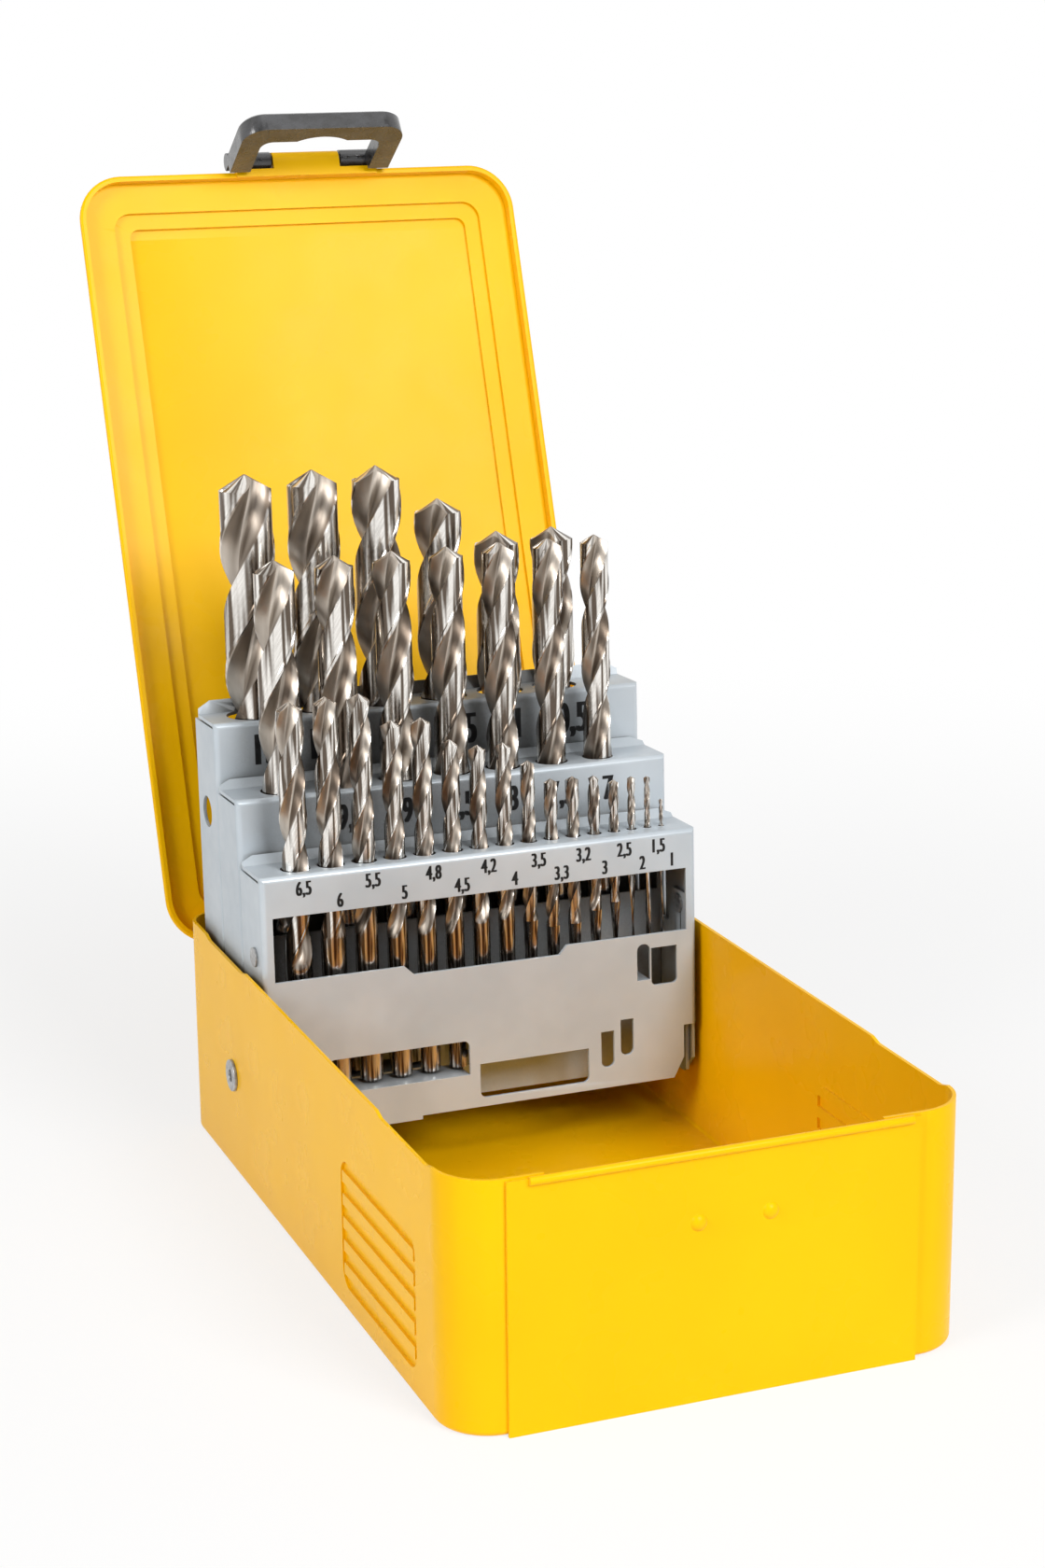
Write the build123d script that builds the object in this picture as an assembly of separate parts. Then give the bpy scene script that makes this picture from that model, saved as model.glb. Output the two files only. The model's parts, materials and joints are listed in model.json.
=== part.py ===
"""Drill bit case: a folded sheet-steel box with a hinged lid, a moulded latch and a tilting three-step rack.

Frame: millimetres, X to the right, Y to the back, Z up. The origin is the middle of the base's underside.
The parts are written in the pose of the open case: the lid leans back on its stop, the rack stands up
with every bit seated in it, and the latch hangs half folded.
"""
from build123d import *
from math import cos, pi, radians, sin, tan
import os

# ---------------------------------------------------------------- driving dimensions
# The base
case_width = 114.0          # outside, across the side walls
case_length = 190.0         # outside, rear wall to front panel
case_height = 54.0          # floor underside to wall top
sheet = 0.8                 # steel of the case, the lid and the rack
front_corner_radius = 11.5
rear_corner_radius = 8.0
floor_edge_radius = 1.5
front_lap = 8.0             # how far the wrapped corners reach behind the front panel
panel_left = -45.8          # the front panel's seams
panel_right = 43.8
hem_radius = 0.9            # rolled top edge of the front panel
wall_dip_depth = 0.8        # shallow dips in the side walls' top edge
wall_dip_starts = (18.0, 145.0)
wall_dip_length = 33.0
wall_dip_ramp = 3.0

# The pressed grips in the side walls
grip_start = 121.0          # from the rear face of the case
grip_length = 47.0
grip_bottom = 6.0
grip_height = 29.0
grip_depth = 0.7
grip_ribs = 5

# The latch bumps on the front panel
latch_centre = 2.5          # the latch sits a little right of the middle
bump_spacing = 15.7
bump_drop = 15.4            # below the case's top edge
bump_radius = 1.8
bump_proud = 1.0

# The lid hinge
hinge_back = 2.3            # hinge axis behind the rear wall's outer face
hinge_drop = 7.7            # hinge axis below the case's top edge
hinge_pin_radius = 1.0
hinge_clearance = 0.1
knuckle_radius = 2.0
knuckle_gap = 0.4
base_knuckle_inner = 22.0
base_knuckle_width = 14.0
end_knuckle_width = 9.0
hinge_leaf_drop = 12.0
hinge_pin_spare = 1.0       # pin past the last knuckle at each end

# The lid
lid_opening = 109.5         # degrees from closed to the open stop
lid_side_gap = 0.4          # running gap between the lid's skirt and the walls
lid_front_gap = 0.6
lid_rear_gap = 2.1
lid_top_gap = 0.3           # lid sheet above the walls' top edge
lid_corner_radius = 11.0
lid_edge_radius = 1.6       # where the lid's top rounds into its skirt
lid_overlap = 2.3           # how far the rolled rim reaches below the walls' top edge, lid closed
lid_bead = 0.7              # how far the rolled rim stands out
lid_bead_height = 1.6
lid_border = 8.0            # flat border outside the first pressed step
lid_step_width = 4.0        # from the first step to the second
lid_step_height = 1.0
lid_step_radii = (5.0, 3.0)

# The latch
latch_width = 43.0
latch_thickness = 5.0
latch_arm_width = 5.5
latch_bar_depth = 6.0
latch_corner_radius = 6.0
latch_hole_radius = 3.0
latch_edge = 0.6            # chamfer round the outer face
latch_wall_gap = 0.5        # latch to front panel when locked
latch_catch_gap = 0.4       # bar below the bumps when locked
latch_axle_radius = 1.2
latch_axle_grip = 1.0       # how far the axle's ends sit in the knuckles
latch_axle_out = 3.8        # axle in front of the lid's skirt
latch_axle_up = 1.3         # axle above the rim's lower edge
latch_knuckle_radius = 2.3
latch_knuckle_inset = 0.5   # knuckle ends inside the arms' outer sides
latch_fold = 75.0           # rest angle from the lid's plane
latch_arch_width = 13.4
latch_arch_depth = 2.0
tongue_width = 18.0
tongue_clearance = 0.1      # round the axle
tongue_side_gap = 0.5       # between the tongue and the knuckles
tongue_shoulder = 38.0
tongue_shoulder_depth = 1.2

# The rack, in its upright frame before it leans back
rack_wall_gap = 1.7         # the rack's flanges to the side walls, filled by the washers
rack_lean = 2.0             # degrees
pivot_back = 38.8           # pivot axis from the rear face of the case
pivot_height = 25.0
fold_radius = 1.4
tier_floor = 14.7           # lower edge of the rack's panels
seam_gap = 0.5              # slit between a top plate and its side flanges
lip_length = 3.2
lip_angle = 35.0
plate_corner = 3.0          # chamfer at the lips' ends
bit_clearance = 0.25        # radial, in the top plates
seat_gap = 0.3              # under the shanks
link_thickness = 1.0
pivot_rivet_radius = 2.5
pivot_bore_radius = 1.5
pivot_head_radius = 3.8
pivot_tail_radius = 3.2
pivot_head_thickness = 0.8
pivot_clearance = 0.1
washer_radius = 4.5
small_rivet_radius = 1.4
small_head_radius = 2.3
small_head_thickness = 0.6
finger_hole_radius = 3.8    # in the back step's flanges
finger_hole_back = 17.6
finger_hole_height = 84.6

# Each step of the rack: front face, rear edges and top, with what stands in it
tiers = {
    "front": dict(front=60.0, flange_rear=43.7, plate_rear=46.8, top=77.7, bit_row=53.8),
    "middle": dict(front=43.0, flange_rear=27.4, plate_rear=30.2, top=92.4, bit_row=36.8),
    "back": dict(front=26.9, flange_rear=10.4, plate_rear=13.6, top=107.5, bit_row=19.4),
}

# Bits: diameter, overall length, flute length, and the depth of the seat below the plate
front_bits = [(6.5, 101, 63, 61.8), (6.0, 93, 57, 53.4), (5.5, 93, 57, 53.4), (5.0, 86, 52, 53.4),
              (4.8, 86, 52, 53.4), (4.5, 80, 47, 53.4), (4.2, 75, 43, 50.4), (4.0, 75, 43, 50.4),
              (3.5, 70, 39, 50.4), (3.3, 65, 36, 50.4), (3.2, 65, 36, 50.4), (3.0, 61, 33, 46.8),
              (2.5, 57, 30, 44.4), (2.0, 49, 24, 36.0), (1.5, 40, 18, 27.4), (1.0, 34, 12, 27.4)]
middle_bits = [(10.0, 133, 87, 78.4), (9.5, 125, 81, 70.4), (9.0, 125, 81, 70.4), (8.5, 117, 75, 62.4),
               (8.0, 117, 75, 62.4), (7.5, 109, 69, 54.4), (7.0, 109, 69, 54.4)]
back_bits = [(13.0, 151, 101, 93.4), (12.5, 151, 101, 93.4), (12.0, 151, 101, 93.4),
             (11.5, 142, 94, 93.4), (11.0, 133, 87, 93.4), (10.5, 133, 87, 93.4)]
# Each row: its bits, and the room left between the rack's sides and its outermost bits
rows = {
    "front": dict(bits=front_bits, left=7.15, right=5.8),
    "middle": dict(bits=middle_bits, left=8.2, right=12.0),
    "back": dict(bits=back_bits, left=5.7, right=14.3),
}
point_angle = 118.0
helix_angle = 28.0
land_half_angle = 30.0      # half the width of a land, seen from the point
core_share = 0.4            # flute bottom radius as a share of the bit's radius
chisel_share = 0.12         # what is left at the very point, as a share of the radius
facets_per_turn = 10
run_out_slices = 2          # slices over which the flutes run out into the shank

# ---------------------------------------------------------------- places worked out from them
rear_y = case_length / 2
front_y = -case_length / 2
half_width = case_width / 2
rack_half = half_width - sheet - rack_wall_gap
hinge_y = rear_y + hinge_back
hinge_height = case_height - hinge_drop
bump_height_up = case_height - bump_drop
lid_skirt_bottom = case_height - lid_overlap
pivot_y = rear_y - pivot_back


def from_back(distance):
    """Y of a point that lies this far in front of the case's rear face."""
    return rear_y - distance


def block(x0, x1, y0, y1, z0, z1):
    """A plain block between two corners."""
    low = (min(x0, x1), min(y0, y1), min(z0, z1))
    return Pos(*low) * Box(abs(x1 - x0), abs(y1 - y0), abs(z1 - z0), align=(Align.MIN,) * 3)


def rod(radius, x0, x1, y, z):
    """A round bar along X."""
    bar = Cylinder(radius, abs(x1 - x0), align=(Align.CENTER, Align.CENTER, Align.MIN))
    return Pos(min(x0, x1), y, z) * Rot(0, 90, 0) * bar


def plan_outline(half, y_front, y_rear, front_radius, rear_radius):
    """A rectangle in plan with its own corner radii at the front and at the rear."""
    sketch = Pos(0, (y_front + y_rear) / 2) * Rectangle(2 * half, y_rear - y_front)
    corners = sketch.vertices()
    sketch = fillet(corners.filter_by(lambda v: v.Y < (y_front + y_rear) / 2), front_radius)
    corners = [v for v in sketch.vertices() if abs(v.Y - y_rear) < 1e-6]
    return fillet(corners, rear_radius)


def tray(half, y_front, y_rear, front_radius, rear_radius, z0, z1):
    """A rounded upright block."""
    outline = plan_outline(half, y_front, y_rear, front_radius, rear_radius)
    return Pos(0, 0, z0) * extrude(outline, z1 - z0)


def side_profile(points, x0, x1):
    """A solid of constant section along X from (y, z) corners."""
    wire = Polyline(*[(0, y, z) for y, z in points], close=True)
    return Pos(x0, 0, 0) * extrude(make_face(wire), x1 - x0, dir=(1, 0, 0))


def keep(name, shape):
    """Write one piece of the case to its own file."""
    shape.label = name
    export_step(shape, os.path.join("parts", name + ".step"))


# ---------------------------------------------------------------- the base
def wall_dips():
    """Shallow dips pressed into the side walls' top edge, both walls at once."""
    cuts = []
    for start in wall_dip_starts:
        y0 = from_back(start)
        y1 = from_back(start + wall_dip_length)
        low = case_height - wall_dip_depth
        high = case_height + 1
        points = [(y0, high), (y0, case_height), (y0 - wall_dip_ramp, low), (y1 + wall_dip_ramp, low),
                  (y1, case_height), (y1, high)]
        cuts.append(side_profile(points, -case_width, case_width))
    return cuts


def grip_patch(x0, x1, radius=4.0):
    """A rounded upright rectangle, as deep as the span x0 to x1."""
    centre_y = from_back(grip_start + grip_length / 2)
    plane = Plane(origin=(x0, centre_y, grip_bottom + grip_height / 2), x_dir=(0, 1, 0), z_dir=(1, 0, 0))
    return extrude(plane * RectangleRounded(grip_length, grip_height, radius), x1 - x0)


def grip_bars(x0, x1):
    """The ribs left standing in a grip, as bars along the wall."""
    pitch = grip_height / (2 * grip_ribs + 1)
    y0, y1 = from_back(grip_start + grip_length - 1), from_back(grip_start + 1)
    return [block(x0, x1, y0, y1, grip_bottom + pitch * (2 * i + 1), grip_bottom + pitch * (2 * i + 2))
            for i in range(grip_ribs)]


def press_grip(shell, side):
    """Press one wall in by the grip's depth, and leave its ribs in the wall's own plane."""
    outer = half_width
    inner = half_width - sheet
    spans = dict(pad=(inner - grip_depth, inner + sheet / 4), pocket=(outer - grip_depth, outer + 1),
                 rib=(outer - grip_depth - 0.01, outer), groove=(inner - grip_depth - 1, inner))
    signed = {name: sorted((side * a, side * b)) for name, (a, b) in spans.items()}
    shell += grip_patch(*signed["pad"])
    shell -= grip_patch(*signed["pocket"])
    shell += grip_bars(*signed["rib"])
    return shell - grip_bars(*signed["groove"])


def make_base_shell():
    """Floor, side walls and rear wall, with the front corners wrapped behind the front panel."""
    wall_front = front_y + sheet
    shell = tray(half_width, wall_front, rear_y, front_corner_radius, rear_corner_radius, 0, case_height)
    shell = fillet(shell.faces().sort_by(Axis.Z)[0].edges(), floor_edge_radius)
    cavity = tray(half_width - sheet, wall_front + sheet, rear_y - sheet, front_corner_radius - sheet,
                  rear_corner_radius - sheet, sheet, case_height + 1)
    cavity = fillet(cavity.faces().sort_by(Axis.Z)[0].edges(), floor_edge_radius - sheet)
    shell -= cavity
    shell -= block(panel_left + front_lap, panel_right - front_lap, front_y - 1, wall_front + sheet + 0.1,
                   floor_edge_radius + sheet, case_height + 1)
    shell -= wall_dips()
    for side in (-1, 1):
        shell = press_grip(shell, side)
    return shell - rod(pivot_rivet_radius, -case_width, case_width, pivot_y, pivot_height)


def make_front_panel():
    """The flat front, laid over the wrapped corners, with a rolled top edge and two latch bumps."""
    panel = block(panel_left, panel_right, front_y, front_y + sheet, 0, case_height - hem_radius)
    hem_y = front_y + sheet - hem_radius
    panel += rod(hem_radius, panel_left + 4.6, panel_right - 1.8, hem_y, case_height - hem_radius)
    panel += block(panel_left, panel_right, front_y, front_y + sheet, case_height - 2 * hem_radius,
                   case_height - hem_radius / 2)
    ball_radius = (bump_radius ** 2 + bump_proud ** 2) / (2 * bump_proud)
    for side in (-1, 1):
        x = latch_centre + side * bump_spacing / 2
        ball = Pos(x, front_y + ball_radius - bump_proud, bump_height_up) * Sphere(ball_radius)
        panel += ball & block(x - 5, x + 5, front_y - 5, front_y, bump_height_up - 5, bump_height_up + 5)
    return panel


def knuckles(spans):
    """Rolled hinge knuckles on the hinge axis, one for each span in x."""
    return [rod(knuckle_radius, x0, x1, hinge_y, hinge_height) for x0, x1 in spans]


def hinge_bore():
    """The bore that the pin runs in, right across the case."""
    return rod(hinge_pin_radius + hinge_clearance, -case_width, case_width, hinge_y, hinge_height)


base_knuckle_outer = base_knuckle_inner + base_knuckle_width
end_knuckle_outer = base_knuckle_outer + knuckle_gap + end_knuckle_width
base_knuckle_spans = [(-base_knuckle_outer, -base_knuckle_inner), (base_knuckle_inner, base_knuckle_outer)]
lid_knuckle_inner = base_knuckle_inner - knuckle_gap
lid_knuckle_spans = [(-end_knuckle_outer, -base_knuckle_outer - knuckle_gap),
                     (-lid_knuckle_inner, lid_knuckle_inner),
                     (base_knuckle_outer + knuckle_gap, end_knuckle_outer)]


def make_base_hinge_leaf():
    """The strip welded to the rear wall, rolled into two knuckles."""
    strip_top = hinge_height - knuckle_radius - knuckle_gap
    leaf = block(-base_knuckle_outer, base_knuckle_outer, rear_y, rear_y + sheet,
                 hinge_height - hinge_leaf_drop, strip_top)
    for x0, x1 in base_knuckle_spans:
        leaf += block(x0, x1, rear_y, rear_y + sheet, strip_top - 1, hinge_height)
    leaf += knuckles(base_knuckle_spans)
    return leaf - hinge_bore()


def make_hinge_pin():
    reach = end_knuckle_outer + hinge_pin_spare
    return rod(hinge_pin_radius, -reach, reach, hinge_y, hinge_height)


# ---------------------------------------------------------------- the lid, drawn closed and then swung open
lid_half = half_width + lid_side_gap + sheet
hem_front = front_y + sheet - 2 * hem_radius
lid_front = hem_front - lid_front_gap - sheet
lid_rear = rear_y + lid_rear_gap + sheet
lid_inside = case_height + lid_top_gap
lid_top = lid_inside + sheet
swing = Pos(0, hinge_y, hinge_height) * Rot(-lid_opening, 0, 0) * Pos(0, -hinge_y, -hinge_height)


def lid_tray(inset, z0, z1, radius):
    """A rounded block that follows the lid's outline, set in by inset."""
    return tray(lid_half - inset, lid_front + inset, lid_rear - inset, radius, radius, z0, z1)


def make_lid_shell():
    """A shallow pressed tray with a rolled rim, two pressed steps and the tongue that holds the latch."""
    bead_top = lid_skirt_bottom + lid_bead_height
    lid = lid_tray(0, lid_skirt_bottom, lid_top, lid_corner_radius)
    lid = fillet(lid.faces().sort_by(Axis.Z)[-1].edges(), lid_edge_radius)
    bead = lid_tray(-lid_bead, lid_skirt_bottom, bead_top, lid_corner_radius + lid_bead)
    lid += fillet(bead.edges().filter_by(lambda e: abs(e.bounding_box().size.Z) < 1e-6), lid_bead * 0.95)
    step_insets = [lid_border, lid_border + lid_step_width]
    for number, (inset, radius) in enumerate(zip(step_insets, lid_step_radii)):
        lid += lid_tray(inset, lid_top - 0.1, lid_top + lid_step_height * (number + 1), radius)
    lid += tongue()
    lid -= lid_tray(sheet, lid_skirt_bottom - 3, lid_inside, lid_corner_radius - sheet)
    for number, (inset, radius) in enumerate(zip(step_insets, lid_step_radii)):
        lid -= lid_tray(inset + sheet * 0.6, lid_inside - 0.1, lid_inside + lid_step_height * (number + 1),
                        radius - sheet * 0.6)
    return swing * lid


axle_y = lid_front - latch_axle_out
axle_z = lid_skirt_bottom + latch_axle_up
tongue_bore = latch_axle_radius + tongue_clearance
tongue_radius = tongue_bore + sheet


def tongue():
    """A tongue from the front rim, rolled over the latch's axle, and the wider rim that carries it."""
    low = axle_z - tongue_radius
    bead_top = lid_skirt_bottom + lid_bead_height
    half = tongue_width / 2
    shoulder = tongue_shoulder / 2
    piece = block(latch_centre - shoulder, latch_centre + shoulder, lid_front - tongue_shoulder_depth,
                  lid_front + sheet, low, bead_top)
    piece += block(latch_centre - half, latch_centre + half, axle_y, lid_front, low, low + sheet)
    piece += rod(tongue_radius, latch_centre - half, latch_centre + half, axle_y, axle_z)
    return piece - rod(tongue_bore, latch_centre - half - 1, latch_centre + half + 1, axle_y, axle_z)


def make_lid_hinge_leaf():
    """The strip welded inside the lid's rear skirt, rolled into three knuckles."""
    y0 = lid_rear - 2 * sheet
    y1 = lid_rear - sheet
    strip_bottom = hinge_height + knuckle_radius + knuckle_gap
    leaf = block(-end_knuckle_outer, end_knuckle_outer, y0, y1, strip_bottom, lid_inside)
    for x0, x1 in lid_knuckle_spans:
        leaf += block(x0, x1, y0, y1, hinge_height, strip_bottom + 1)
    leaf += knuckles(lid_knuckle_spans)
    return swing * (leaf - hinge_bore())


# ---------------------------------------------------------------- the latch, drawn locked
def make_latch():
    """A moulded loop: two arms, a thumb bar with an arched grip, and an axle in the lid's tongue."""
    inner_y = front_y - hem_radius - latch_wall_gap
    outer_y = inner_y - latch_thickness
    bar_top = bump_height_up - bump_radius - latch_catch_gap
    bar_bottom = bar_top - latch_bar_depth
    half = latch_width / 2
    arm_top = axle_z - latch_knuckle_radius - latch_catch_gap
    plane = Plane(origin=(latch_centre, outer_y, (axle_z + bar_bottom) / 2), x_dir=(1, 0, 0), z_dir=(0, 1, 0))
    loop_height = axle_z - bar_bottom
    # seen along +Y, the sketch's own y axis points down
    outline = Rectangle(latch_width, loop_height)
    outline = fillet(outline.vertices().sort_by(Axis.Y)[-2:], latch_corner_radius)
    hole_height = axle_z - bar_top
    hole = Rectangle(latch_width - 2 * latch_arm_width, hole_height + 2)
    hole = Pos(0, -(loop_height - hole_height) / 2 - 1) * hole
    hole = fillet(hole.vertices().sort_by(Axis.Y)[-2:], latch_hole_radius)
    arch_radius = (latch_arch_width ** 2 / 4 + latch_arch_depth ** 2) / (2 * latch_arch_depth)
    arch = Pos(0, loop_height / 2 - latch_bar_depth + latch_arch_depth - arch_radius) * Circle(arch_radius)
    arch &= Pos(0, loop_height / 2) * Rectangle(latch_arch_width + 4, 2 * latch_bar_depth)
    loop = extrude(plane * (outline - hole - arch), latch_thickness)
    loop -= block(-case_width, case_width, axle_y + latch_thickness / 2, inner_y + 1, arm_top, axle_z + 5)
    outer_edges = loop.faces().sort_by(Axis.Y)[0].edges()
    loop = chamfer(outer_edges, latch_edge)
    inner_x = tongue_width / 2 + tongue_side_gap
    for side in (-1, 1):
        x0 = latch_centre + side * inner_x
        x1 = latch_centre + side * (half - latch_knuckle_inset)
        loop += rod(latch_knuckle_radius, x0, x1, axle_y, axle_z)
    axle_reach = inner_x + latch_axle_grip
    loop += rod(latch_axle_radius, latch_centre - axle_reach, latch_centre + axle_reach, axle_y, axle_z)
    at_axle = Pos(0, axle_y, axle_z)
    unfold = at_axle * Rot(latch_fold - 90, 0, 0) * at_axle.inverse()
    return swing * unfold * loop


# ---------------------------------------------------------------- the rack
lean = Pos(0, pivot_y, pivot_height) * Rot(-rack_lean, 0, 0) * Pos(0, -pivot_y, -pivot_height)


def tier_block(tier, floor, inset=0.0):
    """The outside of one step as a block with rounded folds, or the space inside it."""
    y_front = from_back(tier["front"]) + inset
    y_rear = from_back(tier["flange_rear"]) + inset
    half = rack_half - inset
    body = block(-half, half, y_front, y_rear, floor - inset, tier["top"] - inset)
    radius = fold_radius - inset
    front_edges = body.edges().filter_by(lambda e: abs(e.center().Y - y_front) < 1e-6
                                         and e.center().Z > floor - inset + 1e-6)
    return fillet(front_edges, radius)


def folded_tier(name, floor, angle):
    """Front panel, side flanges and top plate folded from one sheet, open at the back and below."""
    tier = tiers[name]
    top = tier["top"]
    plate_rear = from_back(tier["plate_rear"])
    flange_rear = from_back(tier["flange_rear"])
    shell = tier_block(tier, floor) - tier_block(tier, floor, sheet)
    # the top plate ends at its lip, and a slit parts it from the side flanges
    shell -= block(-half_width, half_width, plate_rear, flange_rear + 1, top - sheet - seam_gap, top + 1)
    slit_front = from_back(tier["front"] - fold_radius)
    for side in (-1, 1):
        shell -= block(side * (rack_half - 2 * sheet), side * half_width, slit_front, flange_rear + 1,
                       top - sheet - seam_gap, top - sheet)
    run = lip_length * cos(radians(angle))
    rise = lip_length * sin(radians(angle))
    across = sheet * sin(radians(angle))
    down = sheet * cos(radians(angle))
    root = plate_rear - sheet
    lip = side_profile([(root, top), (plate_rear, top), (plate_rear + run, top + rise),
                        (plate_rear + run + across, top + rise - down), (plate_rear + across, top - sheet),
                        (root, top - sheet)], -rack_half, rack_half)
    past = plate_rear + lip_length + sheet
    for side in (-1, 1):
        corner = Polyline((side * half_width, plate_rear, 0), (side * half_width, past, 0),
                          (side * (rack_half - plate_corner), past, 0),
                          (side * (rack_half - plate_corner), plate_rear + run, 0), close=True)
        lip -= Pos(0, 0, top - lip_length) * extrude(make_face(corner), 3 * lip_length, dir=(0, 0, 1))
    return shell + lip


def bit_places(name):
    """Where each bit of a row stands: (diameter, length, flute, seat, x)."""
    row = rows[name]
    bits = row["bits"]
    steel = sum(bit[0] for bit in bits)
    gap = (2 * rack_half - row["left"] - row["right"] - steel) / (len(bits) - 1)
    places = []
    edge = -rack_half + row["left"]
    for diameter, length, flute, seat in bits:
        places.append((diameter, length, flute, seat, edge + diameter / 2))
        edge += diameter + gap
    return places


def under(name, first, last, before, after):
    """The stretch of a step from a little before one bit's axis to a little after another's."""
    places = {bit[0]: bit[-1] for bit in bit_places(name)}
    return places[first] - before, places[last] + after


def bit_holes(name):
    """The holes in a step's top plate, one for each bit, cut through the lip too where it is close."""
    tier = tiers[name]
    y = from_back(tier["bit_row"])
    below = 2 * sheet
    height = below + lip_length + sheet
    upright = (Align.CENTER, Align.CENTER, Align.MIN)
    return [Pos(x, y, tier["top"] - below) * Cylinder(diameter / 2 + bit_clearance, height, align=upright)
            for diameter, length, flute, seat, x in bit_places(name)]


def window(name, x0, x1, depth0, depth1, radius, rounded="top"):
    """A cut through a step's front panel, between two depths below its top, rounded at its top or bottom."""
    tier = tiers[name]
    y_front = from_back(tier["front"])
    centre = ((x0 + x1) / 2, y_front - 1, tier["top"] - (depth0 + depth1) / 2)
    plane = Plane(origin=centre, x_dir=(1, 0, 0), z_dir=(0, -1, 0))
    outline = Rectangle(x1 - x0, depth1 - depth0)
    corners = outline.vertices().sort_by(Axis.Y)
    outline = fillet(corners[2:] if rounded == "top" else corners[:2], radius)
    return extrude(plane * outline, -(sheet + 1.5))


def shelf(name, x0, x1, depth, reach):
    """A tab folded back from the front panel as the seat under some shanks."""
    tier = tiers[name]
    y_front = from_back(tier["front"])
    top = tier["top"] - depth - seat_gap
    return block(x0, x1, y_front, y_front + sheet + reach, top - sheet, top)


window_frame = 2.7          # steel left beside the wide windows
front_window = (9.6, 25.0)  # depths below the step's top
front_window_dip = 27.2     # depth of its middle stretch
front_dip_ends = ((-20.3, -18.0), (20.6, 18.6))    # outer and inner x of the dip's slants
middle_window = (17.0, 33.5)


def big_window(name, depths, dip=()):
    """The wide window under a step's numbers, with the extra corners of its deeper middle."""
    tier = tiers[name]
    y_front = from_back(tier["front"])
    edge = rack_half - window_frame
    points = [(-edge, depths[0]), (edge, depths[0]), (edge, depths[1]), *dip, (-edge, depths[1])]
    wire = Polyline(*[(x, y_front - 1, tier["top"] - depth) for x, depth in points], close=True)
    return extrude(make_face(wire), sheet + 1.5, dir=(0, 1, 0))


front_floor = tier_floor
rear_floor = tiers["back"]["top"] - back_bits[0][3] - seat_gap - sheet
middle_floor = tiers["middle"]["top"] - middle_bits[0][3] - seat_gap - sheet
shelf_reach = 8.4
back_shelf_reach = 13.0
back_shelf_inset = 3.5      # the back step's shelf ends this far inside the rack's sides
back_lip_angle = 75.0
shelf_window_radius = 1.5
slot_half = 1.7             # half the width of the small slots under the thin bits
slot_height = 9.0
slot_radius = 1.6
end_slot_height = 9.4
end_slot_radius = 1.2
edge_step_x = -17.0         # right of this the front step's lower edge stands a little higher
edge_step = 0.9

# The front step's lower corners: how far in from the side and how deep below the top the fold is cut away
corner_cut = ((-1.0, 49.0), (3.6, 49.0), (3.6, 57.0), (7.0, 63.5), (-1.0, 63.5))
# and the slant of the ear left on the flange: how far behind the panel's face, and the depth
ear_slant = ((-1.0, 56.5), (1.0, 57.5), (7.0, 63.5), (-1.0, 63.5))
ear_room = 2.0              # the slant is cut this deep into the rack's sides

# The inner side plates: corners as distance from the rear face and height
side_plate_low = 16.0
side_plate_high = 52.0
side_plate_corners = [(13.5, side_plate_low), (57.0, side_plate_low), (57.5, 61.0), (50.0, 61.0),
                      (47.5, side_plate_high), (13.5, side_plate_high)]
plate_slot_gap = 0.15


def plate_slots(name):
    """Slots in a step's front panel, along its folds, that let the side plates pass through."""
    y_front = from_back(tiers[name]["front"])
    outer = rack_half - sheet
    inner = outer - link_thickness - plate_slot_gap
    return [block(side * inner, side * outer, y_front - 1, y_front + 2, side_plate_low - plate_slot_gap,
                  side_plate_high + plate_slot_gap) for side in (-1, 1)]


def front_corner_cuts():
    """The fold is cut away at the lower corners, so that the flange ends in a slanted ear."""
    tier = tiers["front"]
    y_front = from_back(tier["front"])
    top = tier["top"]
    cuts = []
    for side in (-1, 1):
        corners = [(side * (rack_half - inward), y_front - 1, top - depth) for inward, depth in corner_cut]
        cuts.append(extrude(make_face(Polyline(*corners, close=True)), 2 * sheet + 1, dir=(0, 1, 0)))
        ear = [(y_front + behind, top - depth) for behind, depth in ear_slant]
        cuts.append(side_profile(ear, *sorted((side * (rack_half - ear_room), side * half_width))))
    return cuts


def bent_shelf(step, name, x0, x1, seat, height, radius, rounded):
    """Bend a shelf back out of a step's panel: the window it leaves is above it or below it."""
    depth = seat + seat_gap
    if rounded == "top":
        step -= window(name, x0, x1, depth - height, depth, radius, rounded)
    else:
        step -= window(name, x0, x1, depth + sheet, depth + sheet + height, radius, rounded)
    return step + shelf(name, x0, x1, seat, shelf_reach)


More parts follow.
